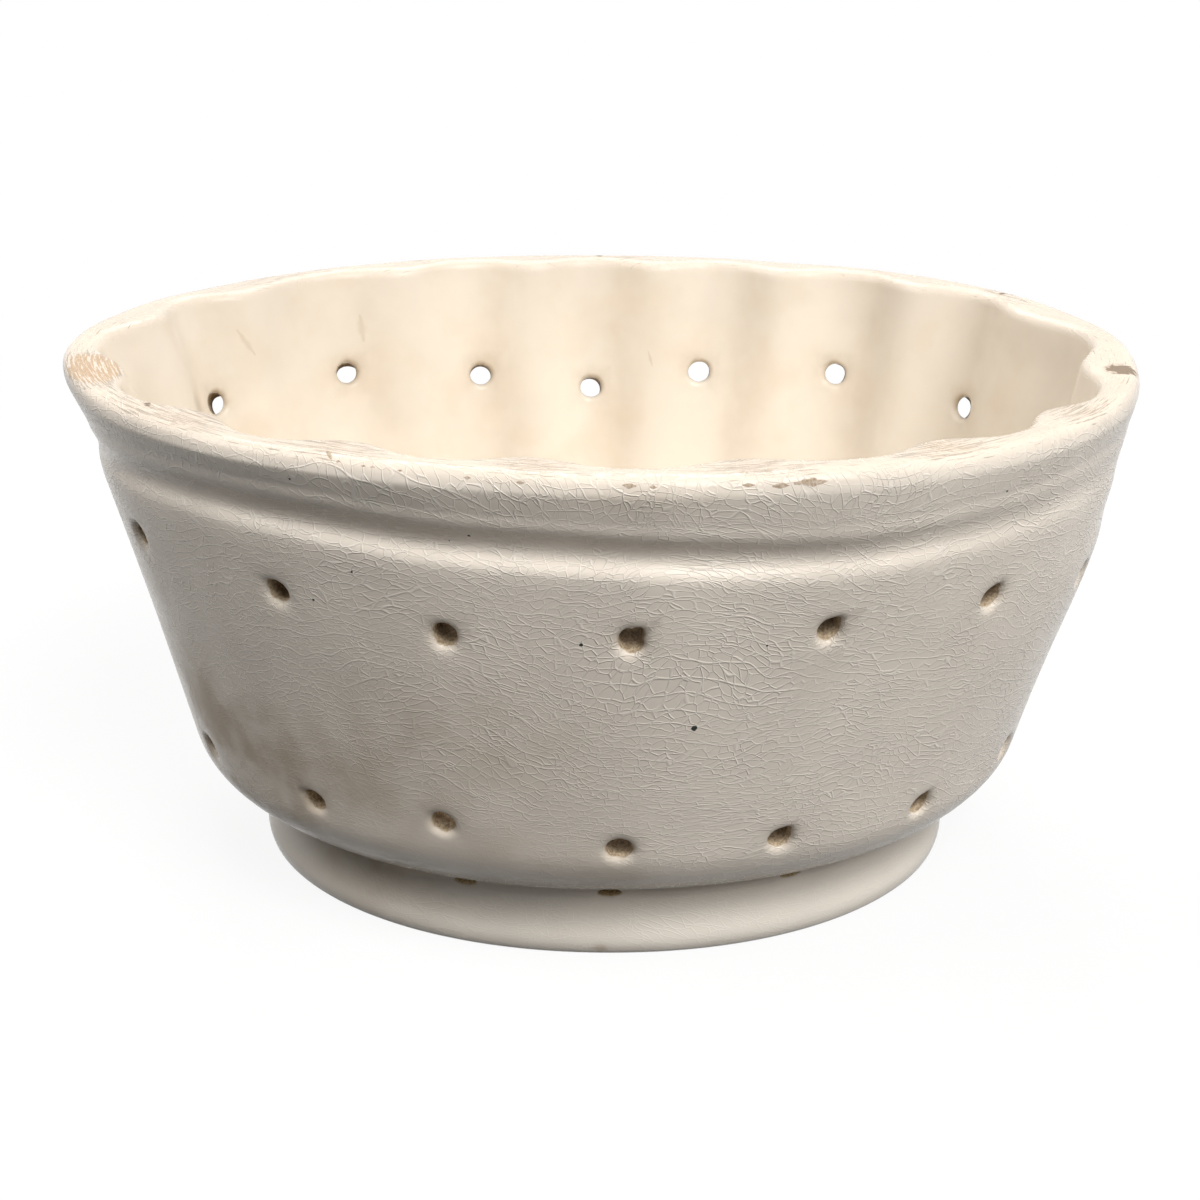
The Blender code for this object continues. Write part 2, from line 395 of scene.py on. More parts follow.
# fluted wall: run rim outside, flutes inside, two rows of piercings
wall = {
    "columns": 396,
    "lipRound": 2.2 * mm,
    "bandHeight": 9.6 * mm,
    "bandLean": 0.15 * mm,  # top of the band, behind its widest line
    "bandRoll": 1.3 * mm,  # foot of the band, behind its widest line
    "bandWidest": 0.1,  # share of the band's height
    "bandCurve": 1.2,  # how late the band rolls under
    "grooveHeight": 10.0 * mm,
    "grooveDepth": 2.2 * mm,
    "grooveSides": ((0.32, 0.15), (0.74, 0.115)),  # where each side is steepest, and its spread
    "grooveFades": (  # where the groove is shallower: turn, spread, share
        (17.7, 2.0, 1.0), (15.3, 1.3, 0.4), (9.0, 1.7, 0.8),
    ),
    "ridgeInset": 2.65 * mm,
    "neckDrop": 20.4 * mm,
    "neckInset": 2.75 * mm,
    "shoulderLength": 160.2 * mm,
    "shoulderWidth": 124.6 * mm,
    "shoulderRise": 8.7 * mm,
    "turnBelly": 0.75,  # 0 slopes straight in to the crease, 1 is a quarter round
    "lipWidth": 6 * mm,
    "thickness": 6 * mm,
    "innerCorner": 6 * mm,
    "fluteDepth": 4 * mm,
    "fluteFade": 0.4,  # how much shallower the flutes are at the floor
    "creaseDrop": 4.0 * mm,  # crease below the top of the foot, which is tucked behind it
    "creaseInset": 2.9 * mm,  # crease inside the foot's widest line
    "skirt": 1.0 * mm,  # thickness of the edge at the crease
    "soften": 0.9 * mm,
    "sway": (  # the run rim wanders up and down: turn, spread, rise in mm
        (11.2, 1.4, 2.4), (14.6, 1.0, -1.6), (17.2, 1.0, 0.5),
        (3.5, 2.0, 1.1), (7.3, 1.5, -0.8),
    ),
    "lipDips": (  # turn, spread, rise in mm
        (11.0, 1.4, -1.3), (13.3, 1.4, -1.6), (15.3, 1.5, -2.2), (16.6, 0.8, -0.8),
    ),
    "pushed": (  # places pressed out or in: turn, spread, height, reach and push in mm
        (9.0, 1.1, 97, 8, 2.3), (17.3, 1.8, 64, 20, 1.5),
        (9.7, 1.6, 55, 26, -0.6), (0.1, 1.0, 97, 9, -1.0),
        (13.4, 4.0, 0, 7, 0.5), (4.2, 1.7, 70, 24, 0.7),
        (17.7, 1.3, 79, 5, -0.8), (17.6, 1.2, 72, 4, -0.7),
    ),
    "swell": 0.22 * mm,  # unevenness of the outside
    "faceting": 0.12 * mm,  # flutes showing faintly through the outside
    "crownSwell": 0.15 * mm,
    "grimeReach": 1.0 * mm,  # round each hole
    "innerSwell": 0.35,  # share of the unevenness that the inside has
    "leastCrazing": 0.15,  # in calm places
    "crownCrazing": 0.5,
    "crownWear": 0.5,  # where it isn't worn more
    "fluteShade": (0.32, 0.17, 0.5),  # painted shade on one side of each flute inside: its place in the flute, spread, share
}


def wallProfile():
    w = wall
    shoulder = np.array([w["shoulderLength"], w["shoulderWidth"]]) / 2
    shoulderZ = floorUnder + w["shoulderRise"]
    crease, creaseZ = footHalf - w["creaseInset"], floorUnder - w["creaseDrop"]
    neck, neckZ = rim - w["neckInset"], lipTop - w["neckDrop"]
    innerFoot = blend(neck, shoulder, (neckZ - floorTop) / (neckZ - shoulderZ)) - w["thickness"]
    lean, lipRound, band = w["bandLean"], w["lipRound"], w["bandHeight"]

    def inside(z):
        return blend(innerFoot, rim - w["lipWidth"], (z - floorTop) / (lipTop - floorTop))

    def corner(s):
        out, up = quarterRound(s)
        z = floorTop + w["innerCorner"] * up
        rib = w["fluteDepth"] * (1 - w["fluteFade"]) * out
        return ring(inside(z), z, w["innerCorner"] * (1 - out), rib, inner=1)

    def innerFace(s):
        z = blend(floorTop + w["innerCorner"], lipTop - lipRound, s)
        return ring(inside(z), z, 0, w["fluteDepth"] * (1 - w["fluteFade"] * (1 - s)), inner=1)

    def innerLip(s):
        up, back = quarterRound(s)
        z = lipTop - lipRound * (1 - up)
        return ring(inside(lipTop - lipRound), z, -lipRound * back, w["fluteDepth"], inner=1 - s, crown=s)

    def outerLip(s):
        out, down = quarterRound(s)
        return ring(rim, lipTop - lipRound * down, lean + lipRound * (1 - out), crown=1 - s)

    def bandFace(s):
        off = (s - w["bandWidest"]) / (1 - w["bandWidest"])
        if off > 0:
            inset = w["bandRoll"] * off ** w["bandCurve"]
        else:
            inset = lean * (1 - s / w["bandWidest"]) ** 2
        return ring(rim, blend(lipTop - lipRound, lipTop - band, s), inset, sway=s)

    def groove(s):
        down, up = (erf((s - at) / spread) for at, spread in w["grooveSides"])
        deep = w["grooveDepth"] * ((down - up) / 2)
        inset = blend(w["bandRoll"], w["ridgeInset"], s)
        return ring(rim, lipTop - band - w["grooveHeight"] * s, inset, sway=1, groove=deep)

    def neckFace(s):
        ridgeZ = lipTop - band - w["grooveHeight"]
        inset = blend(w["ridgeInset"], w["neckInset"], s ** 0.7)
        return ring(rim, blend(ridgeZ, neckZ, s), inset, sway=1 - 0.15 * s)

    def taper(s):
        return ring(blend(neck, shoulder, s), blend(neckZ, shoulderZ, s), sway=0.85 * max(0, 1 - 3 * s))

    def turnedUnder(s):
        down, back = (blend(s, part, w["turnBelly"]) for part in quarterRound(s))
        return ring(blend(shoulder, crease, back), blend(shoulderZ, creaseZ, down))

    rings = run(8, lambda s: ring(floorHalf + mould["seam"], blend(floorUnder, floorTop, s), inner=1))
    rings += run(16, corner) + run(40, innerFace)[1:] + run(12, innerLip)[1:]
    rings += run(12, outerLip) + run(12, bandFace)[1:] + run(24, groove)[1:] + run(8, neckFace)[1:]
    rings += run(40, taper)[1:] + run(24, turnedUnder)[1:]
    rings += run(6, lambda s: ring(crease - w["skirt"], blend(creaseZ, floorUnder, s), inner=1))

    def spacing(t):
        z = columnOf(t, "z")
        outerZ = [floorUnder, 24 * mm, 30 * mm, neckZ - 4 * mm, neckZ, lipTop]
        outerGap = np.interp(z, outerZ, [1, 0.8, 1.15, 1.1, 0.55, 0.55])
        innerZ = [floorUnder, floorTop, 30 * mm, lipTop - 8 * mm, lipTop]
        innerGap = np.interp(z, innerZ, [2, 1, 1.2, 1.25, 0.6])
        gap = np.where(columnOf(t, "inner") > 0.5, innerGap, outerGap)
        return np.where(columnOf(t, "crown") > 0.6, 0.7, gap) * mm

    return evenRows(rings, w["soften"], spacing)


# piercings as (turn, height of the outer mouth in mm, shape), one to each flute
# slant moves the outer mouth round, rise is how far the bore climbs on its way in, shade sets the painted
# shade in its bore
piercing = {
    "cells": (8, 8),
    "rise": 2.8,  # in mm, where a bore has none of its own
    "radius": 2.0,  # in mm, where a hole has none of its own
    "innerRadius": 2.2 * mm,
    "outerRings": (  # reach beyond the edge and lift in mm, bare clay
        (1.7, -0.02, 0), (1.15, -0.1, 0), (0.75, -0.24, 0),
        (0.42, -0.47, 0.05), (0.18, -0.85, 0.45), (0.0, -1.4, 0.95),
    ),
    "innerRings": (
        (1.2, -0.02, 0), (0.85, -0.1, 0), (0.55, -0.24, 0),
        (0.3, -0.45, 0), (0.12, -0.75, 0), (0.0, -1.2, 0),
    ),
}


def backHole(turn, height, radius, rise, slant):
    return turn, height, {"radius": radius, "rise": rise, "slant": slant, "shade": 0.0}


upperRow = (
    (10.18, 70.5, {}),
    (11.43, 69.0, {"radius": 1.8, "points": ((140, 0.25, 0.5),)}),
    (12.44, 66.6, {"radius": 1.9, "stretch": -0.05}),
    (13.46, 67.4, {"radius": 2.0, "stretch": -0.06, "points": ((55, 0.3, 0.35), (5, -0.12, 0.3))}),
    (14.55, 68.1, {"radius": 1.8, "stretch": -0.06, "points": ((55, 0.4, 0.4),)}),
    (15.63, 67.8, {"radius": 1.85, "points": ((60, 0.3, 0.45),)}),
    (16.8, 62.0, {}),
    (17.94, 68.5, {}),
    backHole(1.2, 71.5, 2.4, 2.6, 0.21),
    backHole(2.4, 73.3, 2.5, 2.1, 0.11),
    backHole(3.54, 71.1, 2.45, 2.0, 0.05),
    backHole(4.45, 66.7, 2.45, 2.4, 0.01),
    backHole(5.38, 70.3, 2.4, 2.3, -0.05),
    backHole(6.51, 73.8, 2.6, 2.2, -0.12),
    backHole(7.78, 73.4, 2.4, 2.8, -0.26),
    (8.94, 70.5, {}),
)
lowerRow = (
    (10.1, 28.4, {"radius": 1.8, "shade": 0.3}),
    (11.28, 28.2, {"radius": 1.8, "shade": 0.2, "points": ((150, 0.3, 0.4),)}),
    (12.26, 29.8, {"radius": 1.9, "shade": 0.0}),
    (13.42, 26.4, {"radius": 2.0, "stretch": 0.06}),
    (14.5, 26.4, {"radius": 1.9, "points": ((55, 0.3, 0.4),)}),
    (15.62, 26.2, {"radius": 1.8, "points": ((60, 0.35, 0.4),)}),
    (16.7, 27.4, {"radius": 1.9}),
    (17.94, 27.2, {}), (1.2, 26.8, {}), (2.4, 27.4, {}), (3.52, 26.7, {}), (4.46, 27.1, {"radius": 2.1}),
    (5.42, 27.6, {}), (6.5, 27.0, {}), (7.7, 27.5, {"radius": 2.1}), (8.94, 27.1, {}),
)


def pierceWall(sheet):
    table = sheet["table"]
    mouths = []
    for turn, height, shape in upperRow + lowerRow:
        hole = dict(shape, radius=shape.get("radius", piercing["radius"]) * mm)
        z = height * mm
        rise = shape.get("rise", piercing["rise"]) * mm
        outerRow, innerRow = rowAt(table, z, False), rowAt(table, z + rise, True)
        outerTurn = turn + shape.get("slant", 0.0)
        planMouth(sheet, outerTurn, outerRow, hole, piercing["outerRings"], piercing["cells"], -1)
        innerHole = dict(hole, radius=piercing["innerRadius"], stretch=0.0, points=())
        planMouth(sheet, turn, innerRow, innerHole, piercing["innerRings"], piercing["cells"], 1)
        for at, row in ((outerTurn, outerRow), (turn, innerRow)):
            mouths.append((ringPoint(table, np.array([at]), np.array([row]))[0], hole["radius"]))
    openMouths(sheet)
    return mouths


# tinted places as (turn, spread, height and reach in mm, share): stains, and painted shade in the crease at
# the left
wallStainsAndShade = (
    (13.38, 0.22, 20.5, 3, 1.0), (12.4, 0.75, 45, 13, 0.8),
    (11.2, 0.9, 33, 14, 0.8), (12.8, 0.35, 24, 5, 0.7),
    (10.6, 1.0, 30, 15, 0.7), (13.5, 0.4, 91.5, 2, 0.6),
    (10.2, 0.8, 50, 25, 0.7), (3.0, 1.2, 40, 16, 0.7),
    (7.0, 1.0, 30, 12, 0.8), (16.9, 0.6, 24, 6, 0.5),
    (10.6, 0.9, 14, 5, 1.4),
)
calmGlaze = (  # little crazed
    (10.6, 1.5, 34, 26, 0.75), (12.6, 1.0, 26, 12, 0.6),
)
# stains on the foot, and painted shade in the crease at the left
footStainsAndShade = (
    (10.8, 0.8, 11, 4, 1.3), (11.2, 0.7, 6, 7, 0.6),
    (13.3, 0.05, 1.4, 0.7, 2.5), (5.0, 1.0, 5, 6, 0.8),
)
lipWear = (  # turn, spread, amount
    (9.62, 0.3, 2.0), (10.4, 0.3, 0.5), (10.9, 0.3, 0.6), (11.85, 0.3, 0.6), (12.95, 0.35, 0.6),
    (14.1, 0.35, 0.6), (15.2, 0.35, 0.7), (16.3, 0.3, 0.6), (4.3, 0.5, 0.4), (6.9, 0.4, 0.4),
    (1.15, 0.3, 0.5),
)


def buildWall(material):
    sheet = flatSheet(wallProfile(), wall["columns"], mould["seamTurn"])
    mouths = pierceWall(sheet)

    def masks(turn, at, base, normal):
        z, outerShare = base[:, 2], (1 - at["inner"]) * (1 - at["crown"])
        facing = unevenness(turn, z, 3) * wall["swell"] - wall["faceting"] * np.cos(2 * pi * fluteAt(turn))
        body = np.interp(z, [floorUnder, 24 * mm, 30 * mm, lipTop - 4 * mm, lipTop], [0, 0.3, 1, 1, 0.6])
        lift = facing * body * blend(wall["innerSwell"], 1, outerShare)
        lift += at["crown"] * unevenness(turn, 0 * z, 8, (4, 25)) * wall["crownSwell"]
        # painted shade down one side of each flute on the inner face
        phase, spread, share = wall["fluteShade"]
        fluteShade = share * np.exp(-(((fluteAt(turn) - phase + 0.5) % 1 - 0.5) / spread) ** 2)
        calm = np.maximum(1 - patches(turn, z, calmGlaze), wall["leastCrazing"])
        nearHole = np.zeros_like(turn)
        for place, radius in mouths:
            off = norm(base - place - (0, 0, 0.3 * mm), axis=1) - radius
            nearHole = np.maximum(nearHole, np.exp(-np.maximum(off, 0) / wall["grimeReach"]))
        return {
            "lift": lift,
            "inner": at["inner"],
            "crown": at["crown"],
            "grime": nearHole * (1 - at["crown"]),
            "stain": patches(turn, z, wallStainsAndShade) * outerShare + at["inner"] * fluteShade,
            "wear": at["crown"] * (wall["crownWear"] + humps(turn, lipWear)),
            "crazing": (outerShare + wall["crownCrazing"] * at["crown"]) * calm,
        }

    wrapSheet(sheet, masks)
    piece = finishSheet(sheet, "glazedWall", material)
    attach(piece, "root")
    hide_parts("fluted_wall")


# pierced floor, with a middle hole and two rings of holes
floorPlate = {
    "columns": 216,
    "holeRadius": 2.1 * mm,
    "rings": ((6, 0.4, (12, 6)), (12, 0.76, (8, 6))),  # holes, share of the half size, cells to swap
    "edgeRound": 0.5 * mm,
    "gap": 1.15 * mm,  # between rows
    "swell": 0.15 * mm,
    "grime": 0.4,  # on the underside
    "seamAngle": 15,  # the sheet closes here, clear of the holes
    "outerRings": (  # reach beyond the edge and lift in mm, bare clay
        (1.0, 0, 0), (0.6, -0.1, 0), (0.3, -0.35, 0.2), (0, -0.9, 0.9),
    ),
}


def buildFloor(material):
    p = floorPlate
    middle = np.full(2, p["holeRadius"])

    def faceRing(z, inner):
        return lambda s: ring(blend(middle, floorHalf, s), z, inner=inner)

    rings = run(8, lambda s: ring(middle, blend(floorUnder, floorTop, s), inner=1))[:-1]
    rings += run(60, faceRing(floorTop, 1))
    rings += run(8, lambda s: ring(floorHalf, blend(floorTop, floorUnder, s)))[1:-1]
    rings += run(60, faceRing(floorUnder, 0))[::-1]
    table = evenRows(rings, p["edgeRound"], lambda t: np.full(len(t), p["gap"]))
    sheet = flatSheet(table, p["columns"], float(turnAt(radians(p["seamAngle"]))))
    allRows, half = np.arange(len(table)), len(table) // 2
    faces = ((allRows[:half], floorTop, 1), (allRows[half:], floorUnder, -1))
    for count, share, cells in p["rings"]:
        for i in range(count):
            turn = float(turnAt(2 * pi * i / count))
            wide = blend(middle, floorHalf, share)[1]
            for rows, level, upward in faces:
                rows = rows[np.abs(columnOf(table, "z")[rows] - level) < 0.1 * mm]
                widths = columnOf(table, "wide")[rows]
                order = np.argsort(widths)
                row = float(np.interp(wide, widths[order], rows[order]))
                planMouth(sheet, turn, row, {"radius": p["holeRadius"]}, p["outerRings"], cells, upward)
    openMouths(sheet)

    def masks(turn, at, base, normal):
        awayFromEdge = np.clip((floorHalf[1] - at["wide"]) / (8 * mm), 0, 1)
        lift = p["swell"] * unevenness(turn, base[:, 0], 5, climb=90) * awayFromEdge
        lift *= np.abs(normal[:, 2])
        return {"lift": lift, "inner": at["inner"], "grime": p["grime"] * (1 - at["inner"])}

    wrapSheet(sheet, masks)
    piece = finishSheet(sheet, "drainFloor", material)
    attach(piece, "root")
    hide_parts("pierced_floor")


# foot ring with weep holes just under the crease
footRing = {
    "columns": 396,
    "thickness": 8.5 * mm,
    "tuck": 4.2 * mm,  # top of the foot, behind its widest line
    "flare": 2.8 * mm,  # from the crease out to the bulge
    "flarePower": 1.7,  # more flares later
    "bulgeAt": 0.74,  # share of the way down from the crease
    "bulgeInset": 0.35 * mm,
    "bulgeRound": 1.5 * mm,
    "round": 0.6 * mm,
    "toolLines": ((4.5, 0.15), (5.4, 0.1), (6.6, 0.07)),  # mm below the top, depth in mm
    "lineSpread": 0.28 * mm,
    "soften": 0.25 * mm,
    "swell": 0.12 * mm,
    "wear": 0.8,  # of the standing edge
    "crazing": 0.3,
    "weepTurns": (
        10.9, 12.1, 13.37, 15.0, 16.3, 17.4, 0.1, 1.2, 2.3, 3.4, 4.5, 5.6, 6.7, 7.75, 8.8, 9.85,
    ),
    "weep": {"radius": 1.3 * mm, "stretch": 0.55, "shade": 0.0},
    "weepDrop": (5.7 * mm, 2.7 * mm),  # outside and inside
    "cells": ((8, 14), (12, 8)),  # outside and inside
    "weepRings": (  # reach beyond the edge and lift in mm, bare clay
        (0.5, 0, 0), (0.3, -0.08, 0), (0.15, -0.2, 0.2), (0, -0.5, 0.9),
    ),
}


def buildFoot(material):
    p = footRing
    innerHalf = footHalf - p["thickness"]
    top, creaseZ = footTop, floorUnder - wall["creaseDrop"]

    def outerFace(s):
        z = blend(top, p["round"], s)
        below = (creaseZ - z) / (creaseZ - p["round"])
        over = (below - p["bulgeAt"]) / (1 - p["bulgeAt"])
        slope = p["flare"] * p["flarePower"] * (1 / p["bulgeAt"] - 1)  # carried on over the bulge
        if below < 0:
            inset = p["tuck"]
        elif over < 0:
            inset = p["bulgeInset"] + p["flare"] * (1 - (below / p["bulgeAt"]) ** p["flarePower"])
        else:
            inset = p["bulgeInset"] - slope * over + p["bulgeRound"] * over ** 2
        for drop, deep in p["toolLines"]:
            inset += deep * mm * np.exp(-((top - z - drop * mm) / p["lineSpread"]) ** 2)
        return ring(footHalf, z, inset)

    edge = outerFace(1)[profileColumns.index("inset")]

    def standing(s):
        down, back = quarterRound(s)
        return ring(footHalf - edge, p["round"] * (1 - down), p["round"] * back, crown=s)

    rings = run(8, lambda s: ring(innerHalf, blend(p["round"], top, s), inner=1))
    rings += run(6, lambda s: ring(blend(innerHalf, footHalf - p["tuck"], s), top, inner=1))[1:]
    rings += run(90, outerFace)[1:] + run(10, standing)[1:]
    outerEdge, innerEdge = footHalf - edge - p["round"], innerHalf + p["round"]
    rings += run(6, lambda s: ring(blend(outerEdge, innerEdge, s), 0, crown=1))[1:]

    def spacing(t):
        outerGap = np.interp(columnOf(t, "z"), [0, top - 7 * mm, top - 6.8 * mm, top], [0.5, 0.5, 0.3, 0.3])
        return np.where(columnOf(t, "inner") > 0.5, 0.9, outerGap) * mm

    table = evenRows(rings, p["soften"], spacing)
    sheet = flatSheet(table, p["columns"], mould["seamTurn"])
    for turn in p["weepTurns"]:
        for drop, inner, cells, upward in zip(p["weepDrop"], (False, True), p["cells"], (-1, 1)):
            row = rowAt(table, top - drop, inner)
            planMouth(sheet, turn, row, p["weep"], p["weepRings"], cells, upward)
    openMouths(sheet)

    def masks(turn, at, base, normal):
        z = base[:, 2]
        body = np.interp(z, [0, 2 * mm, top - 3 * mm, top], [0, 1, 1, 0])
        lift = unevenness(turn, z, 21) * p["swell"] * body
        return {"lift": lift, "inner": at["inner"], "crown": at["crown"], "wear": p["wear"] * at["crown"],
                "stain": patches(turn, z, footStainsAndShade), "crazing": p["crazing"] * (1 - at["inner"])}

    wrapSheet(sheet, masks)
    piece = finishSheet(sheet, "luteFoot", material)
    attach(piece, "root")
    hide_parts("foot_ring")


# marks on the wall, in mm: strokes that taper from one place to another, and round spots
lipChips = (  # turn and drop below the crown, twice, then half width
    (14.24, 1.35, 14.41, 1.4, 0.62), (14.13, 1.6, 14.21, 1.6, 0.42), (13.4, 1.15, 13.46, 1.25, 0.4),
    (13.53, 1.4, 13.56, 1.4, 0.28), (13.98, 1.3, 14.04, 1.35, 0.26), (11.87, 0.6, 11.94, 0.7, 0.34),
    (11.96, 0.7, 11.98, 0.7, 0.22), (12.1, 0.85, 12.12, 0.85, 0.2), (12.15, 0.85, 12.17, 0.85, 0.18),
    (12.29, 0.95, 12.32, 0.95, 0.2), (12.63, 1.1, 12.66, 1.1, 0.22), (12.88, 1.25, 12.93, 1.3, 0.24),
    (6.08, 1.0, 6.16, 1.1, 0.5), (1.58, 0.9, 1.64, 0.9, 0.4), (3.18, 1.2, 3.24, 1.2, 0.35),
)
crownChips = (  # turn, share of the way out over the crown, radius
    (17.19, 0.68, 2.6), (10.46, 0.3, 0.6), (10.5, 0.45, 0.45), (4.38, 0.6, 0.6), (1.18, 0.55, 0.7),
)
smears = (  # turn and height, twice, then half width
    (13.55, 69.6, 13.61, 72.4, 0.8), (14.62, 70.2, 14.74, 72.2, 0.75), (13.52, 64.8, 13.56, 65.8, 0.5),
)
scuffs = (  # inside: turn and height, twice, then half width
    (7.49, 89.6, 7.4, 84.4, 0.5), (6.34, 87.6, 6.34, 82.4, 0.8), (3.97, 78.0, 3.93, 74.8, 0.3),
    (7.95, 74.5, 7.9, 71.5, 0.5),
)
specks = (  # turn, height, radius
    (13.84, 51.1, 0.5), (13.19, 66.8, 0.28), (11.68, 69.3, 0.2), (11.96, 75.2, 0.2), (11.69, 90.5, 0.2),
    (15.51, 88.0, 0.22), (12.62, 83.4, 0.24), (12.51, 82.0, 0.2), (14.2, 66.4, 0.18), (5.2, 48.0, 0.4),
    (1.9, 60.0, 0.3),
)


def wallMarks():
    table = wallProfile()
    crown = np.flatnonzero(columnOf(table, "crown") > 0.5)

    def place(turn, row):
        return Vector(ringPoint(table, np.array([turn]), np.array([row]))[0])

    def onPlan(turn, share):
        return place(turn, blend(crown[0], crown[-1], share)) * Vector((1, 1, 0))

    def below(turn, drop):
        return place(turn, rowAt(table, lipTop - drop * mm, False))

    def outside(turn, height):
        return place(turn, rowAt(table, height * mm, False))

    def inside(turn, height):
        return place(turn, rowAt(table, height * mm, True))

    def strokes(marks, where):
        made = []
        for firstTurn, first, lastTurn, last, width in marks:
            start, end = where(firstTurn, first), where(lastTurn, last)
            bow = where((firstTurn + lastTurn) / 2, (first + last) / 2) - (start + end) / 2
            out = bow * 0.6  # towards the curved glaze
            made.append((start + out, end + out, width * mm))
        return made

    return {
        "chips": strokes(lipChips, below),
        "crownChips": [(onPlan(turn, share), radius * mm) for turn, share, radius in crownChips],
        "smears": strokes(smears, outside),
        "scuffs": strokes(scuffs, inside),
        "specks": [(outside(turn, height), radius * mm) for turn, height, radius in specks],
    }


# node helpers
def feed(node, inputs):
    for name, value in inputs.items():
        if isinstance(value, bpy.types.NodeSocket):
            node.id_data.links.new(value, node.inputs[name])
        else:
            node.inputs[name].default_value = value


def addNode(tree, kind, inputs, **settings):
    made = tree.nodes.new("ShaderNode" + kind)
    for name, value in settings.items():
        setattr(made, name, value)
    feed(made, inputs)
    return made


def joined(kind, inputs, **settings):
    # adds a node to the tree that its first linked input comes from
    linked = (value for value in inputs.values() if isinstance(value, bpy.types.NodeSocket))
    return addNode(next(linked).id_data, kind, inputs, **settings)


def sums(operation, first, second, clamp=False):
    inputs = {0: first, 1: second}
    return joined("Math", inputs, operation=operation, use_clamp=clamp).outputs[0]


def times(first, second):
    return sums("MULTIPLY", first, second)


def remap(value, low, high, newLow=0.0, newHigh=1.0):
    inputs = {"Value": value, "From Min": low, "From Max": high, "To Min": newLow, "To Max": newHigh}
    return joined("MapRange", inputs, interpolation_type="SMOOTHSTEP").outputs[0]


def mixed(share, first, second, how="MIX"):
    inputs = {0: share, 6: first, 7: second}
    return joined("Mix", inputs, data_type="RGBA", blend_type=how).outputs[2]


def mixedValue(share, first, second):
    return joined("Mix", {0: share, 2: first, 3: second}, data_type="FLOAT").outputs[0]


def vectors(operation, first, second=(0, 0, 0), third=(0, 0, 0)):
    made = joined("VectorMath", {0: first, 1: second, 2: third}, operation=operation)
    return made.outputs["Value" if operation in ("DOT_PRODUCT", "LENGTH", "DISTANCE") else "Vector"]


def mottle(vector, scale, detail, roughness=0.5, output="Fac"):
    inputs = {"Vector": vector, "Scale": scale, "Detail": detail, "Roughness": roughness}
    return joined("TexNoise", inputs).outputs[output]


def uneven(vector, scale, detail, low, high):
    return remap(mottle(vector, scale, detail), 0.3, 0.7, low, high)


def attribute(tree, name):
    return addNode(tree, "Attribute", {}, attribute_name=name).outputs["Fac"]


def cracks(vector, scale, spread):
    # bright along the edges of a field of cells
    cells = joined("TexVoronoi", {"Vector": vector, "Scale": scale}, feature="DISTANCE_TO_EDGE")
    return remap(cells.outputs["Distance"], 0.0, spread, 1.0, 0.0)


def newGroup(name, inputs, outputs):
    tree = bpy.data.node_groups.new(name, "ShaderNodeTree")
    for way, sockets in (("INPUT", inputs), ("OUTPUT", outputs)):
        for label, kind in sockets.items():
            tree.interface.new_socket(name=label, in_out=way, socket_type="NodeSocket" + kind)
    return tree, tree.nodes.new("NodeGroupInput").outputs, tree.nodes.new("NodeGroupOutput")


def bentBy(vector, scale, share):
    # the place, moved about by soft noise
    push = mottle(vector, scale, 1, output="Color")
    return vectors("MULTIPLY_ADD", push, (share,) * 3, vector)


def levelLines(vector, slope, width):
    # thin lines that lie across the slope, one to each whole step of it
    steps = vectors("DOT_PRODUCT", vector, slope)
    return remap(sums("PINGPONG", steps, 0.5), 0.0, width, 1.0, 0.0)


craze = {
    "lying": ((0.85, 0.85, 1.9), 520, 0.08),  # on the body: squeeze, cells to the metre, line width
    "upright": ((1.5, 1.5, 0.8), 440, 0.075),  # under the lip
    "underLip": (12 * mm, 7 * mm),  # below the lip: lying gives way to upright between these
    "longSlope": (70.0, 40.0, 520.0),
    "longWidth": 0.075,
    "lineColor": (0.95, 0.92, 0.86, 1),
    "lineShare": 0.3,
}


def crazedGlazeGroup():
    # aged glaze: slow colour drift, and crazing with light edges
    tree, put, out = newGroup(
        "crazedGlaze",
        {"Vector": "Vector", "Tint": "Color", "Crazing": "Float"},
        {"Color": "Color", "Roughness": "Float", "Height": "Float"},
    )
    vector = put["Vector"]
    cloud = mottle(vector, 95, 4)
    light = times(uneven(vector, 22, 2, 0.94, 1.03), remap(cloud, 0.3, 0.7, 0.98, 1.015))
    color = mixed(1.0, put["Tint"], light, "MULTIPLY")
    bent = bentBy(bentBy(vector, 38, 0.016), 210, 0.0024)
    wavy = bentBy(bentBy(vector, 30, 0.022), 130, 0.004)

    def cells(squeeze, scale, width):
        return cracks(vectors("MULTIPLY", bent, squeeze), scale, width)

    height = joined("SeparateXYZ", {0: vector}).outputs["Z"]
    underLip = remap(height, *(lipTop - drop for drop in craze["underLip"]))
    line = mixedValue(underLip, cells(*craze["lying"]), cells(*craze["upright"]))
    inPlaces = remap(mottle(vector, 50, 2), 0.22, 0.42)
    long = levelLines(wavy, craze["longSlope"], craze["longWidth"])
    line = sums("MAXIMUM", line, times(long, inPlaces))
    faint = remap(mottle(vector, 110, 2), 0.34, 0.62, 0.5, 1.0)
    line = times(times(line, faint), put["Crazing"])
    rough = sums("ADD", line, times(cloud, 0.5))
    peel = times(mottle(vector, 260, 2), 0.3)
    feed(out, {
        "Color": mixed(times(line, craze["lineShare"]), color, craze["lineColor"]),
        "Roughness": remap(rough, 0, 1.5, 0.17, 0.42),
        "Height": sums("ADD", peel, line),
    })
    return tree


